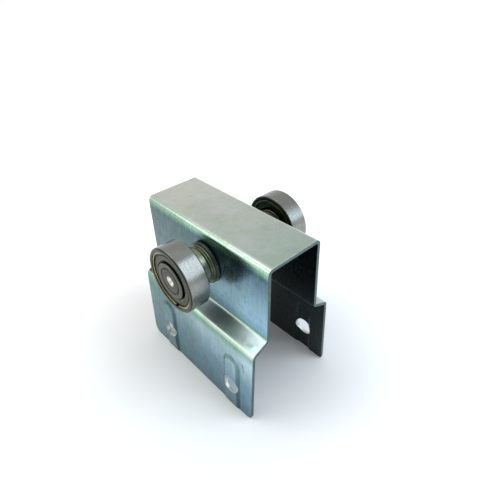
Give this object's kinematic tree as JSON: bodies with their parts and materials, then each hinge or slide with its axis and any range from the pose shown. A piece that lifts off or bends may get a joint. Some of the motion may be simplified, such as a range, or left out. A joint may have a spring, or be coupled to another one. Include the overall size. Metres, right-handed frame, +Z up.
{
  "type": "sliding door roller",
  "caption": "Top-hung sliding door roller: folded sheet-steel bracket with splayed skirts and screw holes, and a shielded ball bearing on each end of a staked through axle.",
  "frame": {"origin": "centre of the bounding box's bottom: the middle of the bracket, at the plane of the skirts' lower edges", "axes": "+X along the bracket, the way the door slides; +Y across it, along the axle; +Z up, from the door to the track"},
  "size_m": [0.059, 0.05, 0.0608],
  "materials": {
    "zinc_plated_sheet": "bright zinc plating with a blue-green tint",
    "axle_steel": "turned, dark zinc",
    "plated_tube": "zinc plated",
    "plated_sleeve": "turned, zinc plated, slightly yellow",
    "bearing_steel": "ground and polished",
    "shield_steel": "pressed, satin, olive tint",
    "snap_ring_steel": "yellow passivated",
    "cage_steel": "pressed, bright"
  },
  "bodies": {
    "carrier": {"bracket": "zinc_plated_sheet", "axle": "axle_steel", "inner_tube": "plated_tube", "near_washer": "plated_sleeve", "near_spacer": "plated_sleeve", "near_inner_ring": "bearing_steel", "far_washer": "plated_sleeve", "far_spacer": "plated_sleeve", "far_inner_ring": "bearing_steel"},
    "near_roller": {"near_outer_ring": "bearing_steel", "near_shield_outer": "shield_steel", "near_shield_inner": "shield_steel", "near_snap_ring_outer": "snap_ring_steel", "near_snap_ring_inner": "snap_ring_steel"},
    "near_cage": {"near_cage_outer_half": "cage_steel", "near_cage_inner_half": "cage_steel", "near_ball_1": "bearing_steel", "near_ball_2": "bearing_steel", "near_ball_3": "bearing_steel", "near_ball_4": "bearing_steel", "near_ball_5": "bearing_steel", "near_ball_6": "bearing_steel", "near_ball_7": "bearing_steel"},
    "far_roller": {"far_outer_ring": "bearing_steel", "far_shield_outer": "shield_steel", "far_shield_inner": "shield_steel", "far_snap_ring_outer": "snap_ring_steel", "far_snap_ring_inner": "snap_ring_steel"},
    "far_cage": {"far_cage_outer_half": "cage_steel", "far_cage_inner_half": "cage_steel", "far_ball_1": "bearing_steel", "far_ball_2": "bearing_steel", "far_ball_3": "bearing_steel", "far_ball_4": "bearing_steel", "far_ball_5": "bearing_steel", "far_ball_6": "bearing_steel", "far_ball_7": "bearing_steel"}
  },
  "joints": [
    {"name": "near_roller_spin", "type": "hinge", "parent": "carrier", "child": "near_roller", "pos_m": [0.0018, -0.0215, 0.0493], "axis": [0, 1, 0], "continuous": true},
    {"name": "near_cage_spin", "type": "hinge", "parent": "carrier", "child": "near_cage", "pos_m": [0.0018, -0.0215, 0.0493], "axis": [0, 1, 0], "continuous": true},
    {"name": "far_roller_spin", "type": "hinge", "parent": "carrier", "child": "far_roller", "pos_m": [0.0018, 0.0215, 0.0493], "axis": [0, 1, 0], "continuous": true},
    {"name": "far_cage_spin", "type": "hinge", "parent": "carrier", "child": "far_cage", "pos_m": [0.0018, 0.0215, 0.0493], "axis": [0, 1, 0], "continuous": true}
  ],
  "couplings": [
    {"joint": "near_cage_spin", "follows": "near_roller_spin", "ratio": 0.6323},
    {"joint": "far_cage_spin", "follows": "far_roller_spin", "ratio": 0.6323}
  ]
}
